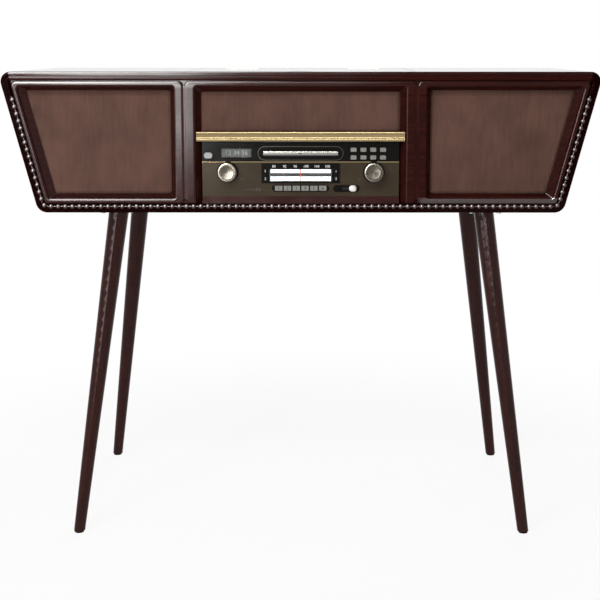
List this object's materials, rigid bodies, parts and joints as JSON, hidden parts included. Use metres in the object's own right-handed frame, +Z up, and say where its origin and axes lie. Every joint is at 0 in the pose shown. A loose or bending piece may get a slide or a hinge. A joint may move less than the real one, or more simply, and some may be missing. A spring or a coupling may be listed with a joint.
{
  "type": "record player console",
  "caption": "Console record player in a trapezoid wooden cabinet on splayed tapered legs, with cloth speaker grilles, radio dial, disc tray and a lidded turntable.",
  "frame": {"origin": "on the floor under the middle of the cabinet", "axes": "+X to the right along the cabinet, -Y to the front, +Z up"},
  "size_m": [1.0234, 0.452, 0.8135],
  "materials": {
    "mahogany": "gloss lacquer",
    "plywood": "plain",
    "hardboard": "matte",
    "grille_cloth": "woven",
    "gold_trim": "polished",
    "hinge_brass": "satin",
    "zinc_steel": "zinc plated",
    "bright_steel": "polished",
    "speaker_steel": "black enamel",
    "paper_cone": "pressed paper",
    "black_plastic": "moulded",
    "deck_board": "moulded",
    "bronze_panel": "bronze lacquer",
    "chrome": "polished",
    "tray_metal": "metallised",
    "silver_plastic": "silver lacquer",
    "white_plastic": "moulded",
    "clear_plastic": "clear",
    "pointer_red": "moulded",
    "aluminium": "turned",
    "rubber": "moulded",
    "circuit_board": "solder mask"
  },
  "bodies": {
    "cabinet": {"arm_rest": "black_plastic", "baffle_boards": "plywood", "bay_dividers": "plywood", "bead_trim": "mahogany", "bottom_panel": "mahogany", "centre_grille_cloth": "grille_cloth", "deck_plate": "deck_board", "dial_frame": "black_plastic", "drive_belt": "rubber", "drive_motor": "zinc_steel", "fascia_panel": "bronze_panel", "fascia_strip": "black_plastic", "fascia_windows": "clear_plastic", "foot_glides": "black_plastic", "front_frame": "mahogany", "front_left_leg": "mahogany", "front_right_leg": "mahogany", "gold_bar": "gold_trim", "hinge_base_leaves": "hinge_brass", "left_grille_cloth": "grille_cloth", "leg_plates": "zinc_steel", "rear_left_leg": "mahogany", "rear_panel": "hardboard", "rear_right_leg": "mahogany", "rear_sockets": "black_plastic", "receiver_chassis": "zinc_steel", "receiver_electronics": "circuit_board", "right_grille_cloth": "grille_cloth", "side_panels": "mahogany", "speaker_baskets": "speaker_steel", "speaker_cones": "paper_cone", "spindle": "bright_steel", "tonearm_base": "chrome", "top_boards": "mahogany", "wood_screws": "zinc_steel"},
    "lid": {"lid": "mahogany", "hinge_lid_leaves": "hinge_brass"},
    "platter": {"platter": "aluminium", "platter_mat": "rubber"},
    "motor_pulley": {"motor_pulley": "silver_plastic"},
    "arm_yoke": {"tonearm_yoke": "chrome"},
    "tonearm": {"tonearm": "aluminium", "counterweight": "chrome", "cartridge": "black_plastic"},
    "cue_lever": {"cue_lever": "silver_plastic"},
    "cue_lifter": {"cue_lifter": "silver_plastic"},
    "cd_tray": {"cd_tray": "tray_metal"},
    "volume_knob": {"volume_knob": "chrome"},
    "tuning_knob": {"tuning_knob": "chrome"},
    "dial_pointer": {"dial_pointer": "pointer_red"},
    "band_switch": {"band_switch": "white_plastic"},
    "power_button": {"power_button": "silver_plastic"},
    "key_1": {"key_1": "silver_plastic"},
    "key_2": {"key_2": "silver_plastic"},
    "key_3": {"key_3": "silver_plastic"},
    "key_4": {"key_4": "silver_plastic"},
    "key_5": {"key_5": "silver_plastic"},
    "key_6": {"key_6": "silver_plastic"},
    "key_7": {"key_7": "silver_plastic"},
    "key_8": {"key_8": "silver_plastic"}
  },
  "joints": [
    {"name": "lid_hinge", "type": "hinge", "parent": "cabinet", "child": "lid", "pos_m": [0, 0.1535, 0.811], "axis": [-1, 0, 0], "range_deg": [0, 95]},
    {"name": "platter_spin", "type": "hinge", "parent": "cabinet", "child": "platter", "pos_m": [-0.032, 0, 0.746], "axis": [0, 0, 1], "continuous": true},
    {"name": "pulley_spin", "type": "hinge", "parent": "cabinet", "child": "motor_pulley", "pos_m": [-0.10747, 0.06561, 0.746], "axis": [0, 0, 1], "continuous": true},
    {"name": "arm_swing", "type": "hinge", "parent": "cabinet", "child": "arm_yoke", "pos_m": [0.15, 0.10075, 0.766], "axis": [0, 0, -1], "range_deg": [0, 46]},
    {"name": "arm_lift", "type": "hinge", "parent": "arm_yoke", "child": "tonearm", "pos_m": [0.15, 0.10075, 0.776], "axis": [-1, 0, 0], "range_deg": [0, 2.25]},
    {"name": "cue_lever_turn", "type": "hinge", "parent": "cabinet", "child": "cue_lever", "pos_m": [0.166, 0.05775, 0.75], "axis": [-1, 0, 0], "range_deg": [0, 50]},
    {"name": "lifter_slide", "type": "slide", "parent": "cabinet", "child": "cue_lifter", "axis": [0, 0, 1], "range_m": [0, 0.00229]},
    {"name": "tray_slide", "type": "slide", "parent": "cabinet", "child": "cd_tray", "axis": [0, -1, 0], "range_m": [0, 0.13]},
    {"name": "volume_turn", "type": "hinge", "parent": "cabinet", "child": "volume_knob", "pos_m": [-0.126, -0.195, 0.64], "axis": [0, 1, 0], "range_deg": [-150, 150]},
    {"name": "tuning_turn", "type": "hinge", "parent": "cabinet", "child": "tuning_knob", "pos_m": [0.126, -0.195, 0.64], "axis": [0, 1, 0], "range_deg": [-540, 540]},
    {"name": "pointer_slide", "type": "slide", "parent": "cabinet", "child": "dial_pointer", "axis": [1, 0, 0], "range_m": [-0.0502, 0.0502]},
    {"name": "band_slide", "type": "slide", "parent": "cabinet", "child": "band_switch", "axis": [1, 0, 0], "range_m": [-0.02, 0]},
    {"name": "power_button_press", "type": "slide", "parent": "cabinet", "child": "power_button", "axis": [0, 1, 0], "range_m": [0, 0.0012], "stiffness_N_per_m": 400},
    {"name": "key_1_press", "type": "slide", "parent": "cabinet", "child": "key_1", "axis": [0, 1, 0], "range_m": [0, 0.0012], "stiffness_N_per_m": 400},
    {"name": "key_2_press", "type": "slide", "parent": "cabinet", "child": "key_2", "axis": [0, 1, 0], "range_m": [0, 0.0012], "stiffness_N_per_m": 400},
    {"name": "key_3_press", "type": "slide", "parent": "cabinet", "child": "key_3", "axis": [0, 1, 0], "range_m": [0, 0.0012], "stiffness_N_per_m": 400},
    {"name": "key_4_press", "type": "slide", "parent": "cabinet", "child": "key_4", "axis": [0, 1, 0], "range_m": [0, 0.0012], "stiffness_N_per_m": 400},
    {"name": "key_5_press", "type": "slide", "parent": "cabinet", "child": "key_5", "axis": [0, 1, 0], "range_m": [0, 0.0012], "stiffness_N_per_m": 400},
    {"name": "key_6_press", "type": "slide", "parent": "cabinet", "child": "key_6", "axis": [0, 1, 0], "range_m": [0, 0.0012], "stiffness_N_per_m": 400},
    {"name": "key_7_press", "type": "slide", "parent": "cabinet", "child": "key_7", "axis": [0, 1, 0], "range_m": [0, 0.0012], "stiffness_N_per_m": 400},
    {"name": "key_8_press", "type": "slide", "parent": "cabinet", "child": "key_8", "axis": [0, 1, 0], "range_m": [0, 0.0012], "stiffness_N_per_m": 400}
  ],
  "couplings": [
    {"joint": "pulley_spin", "follows": "platter_spin", "ratio": 10.833},
    {"joint": "arm_lift", "follows": "cue_lever_turn", "ratio": 0.044},
    {"joint": "lifter_slide", "follows": "cue_lever_turn", "m_per_rad": 0.002509},
    {"joint": "pointer_slide", "follows": "tuning_turn", "m_per_rad": 0.005305}
  ]
}
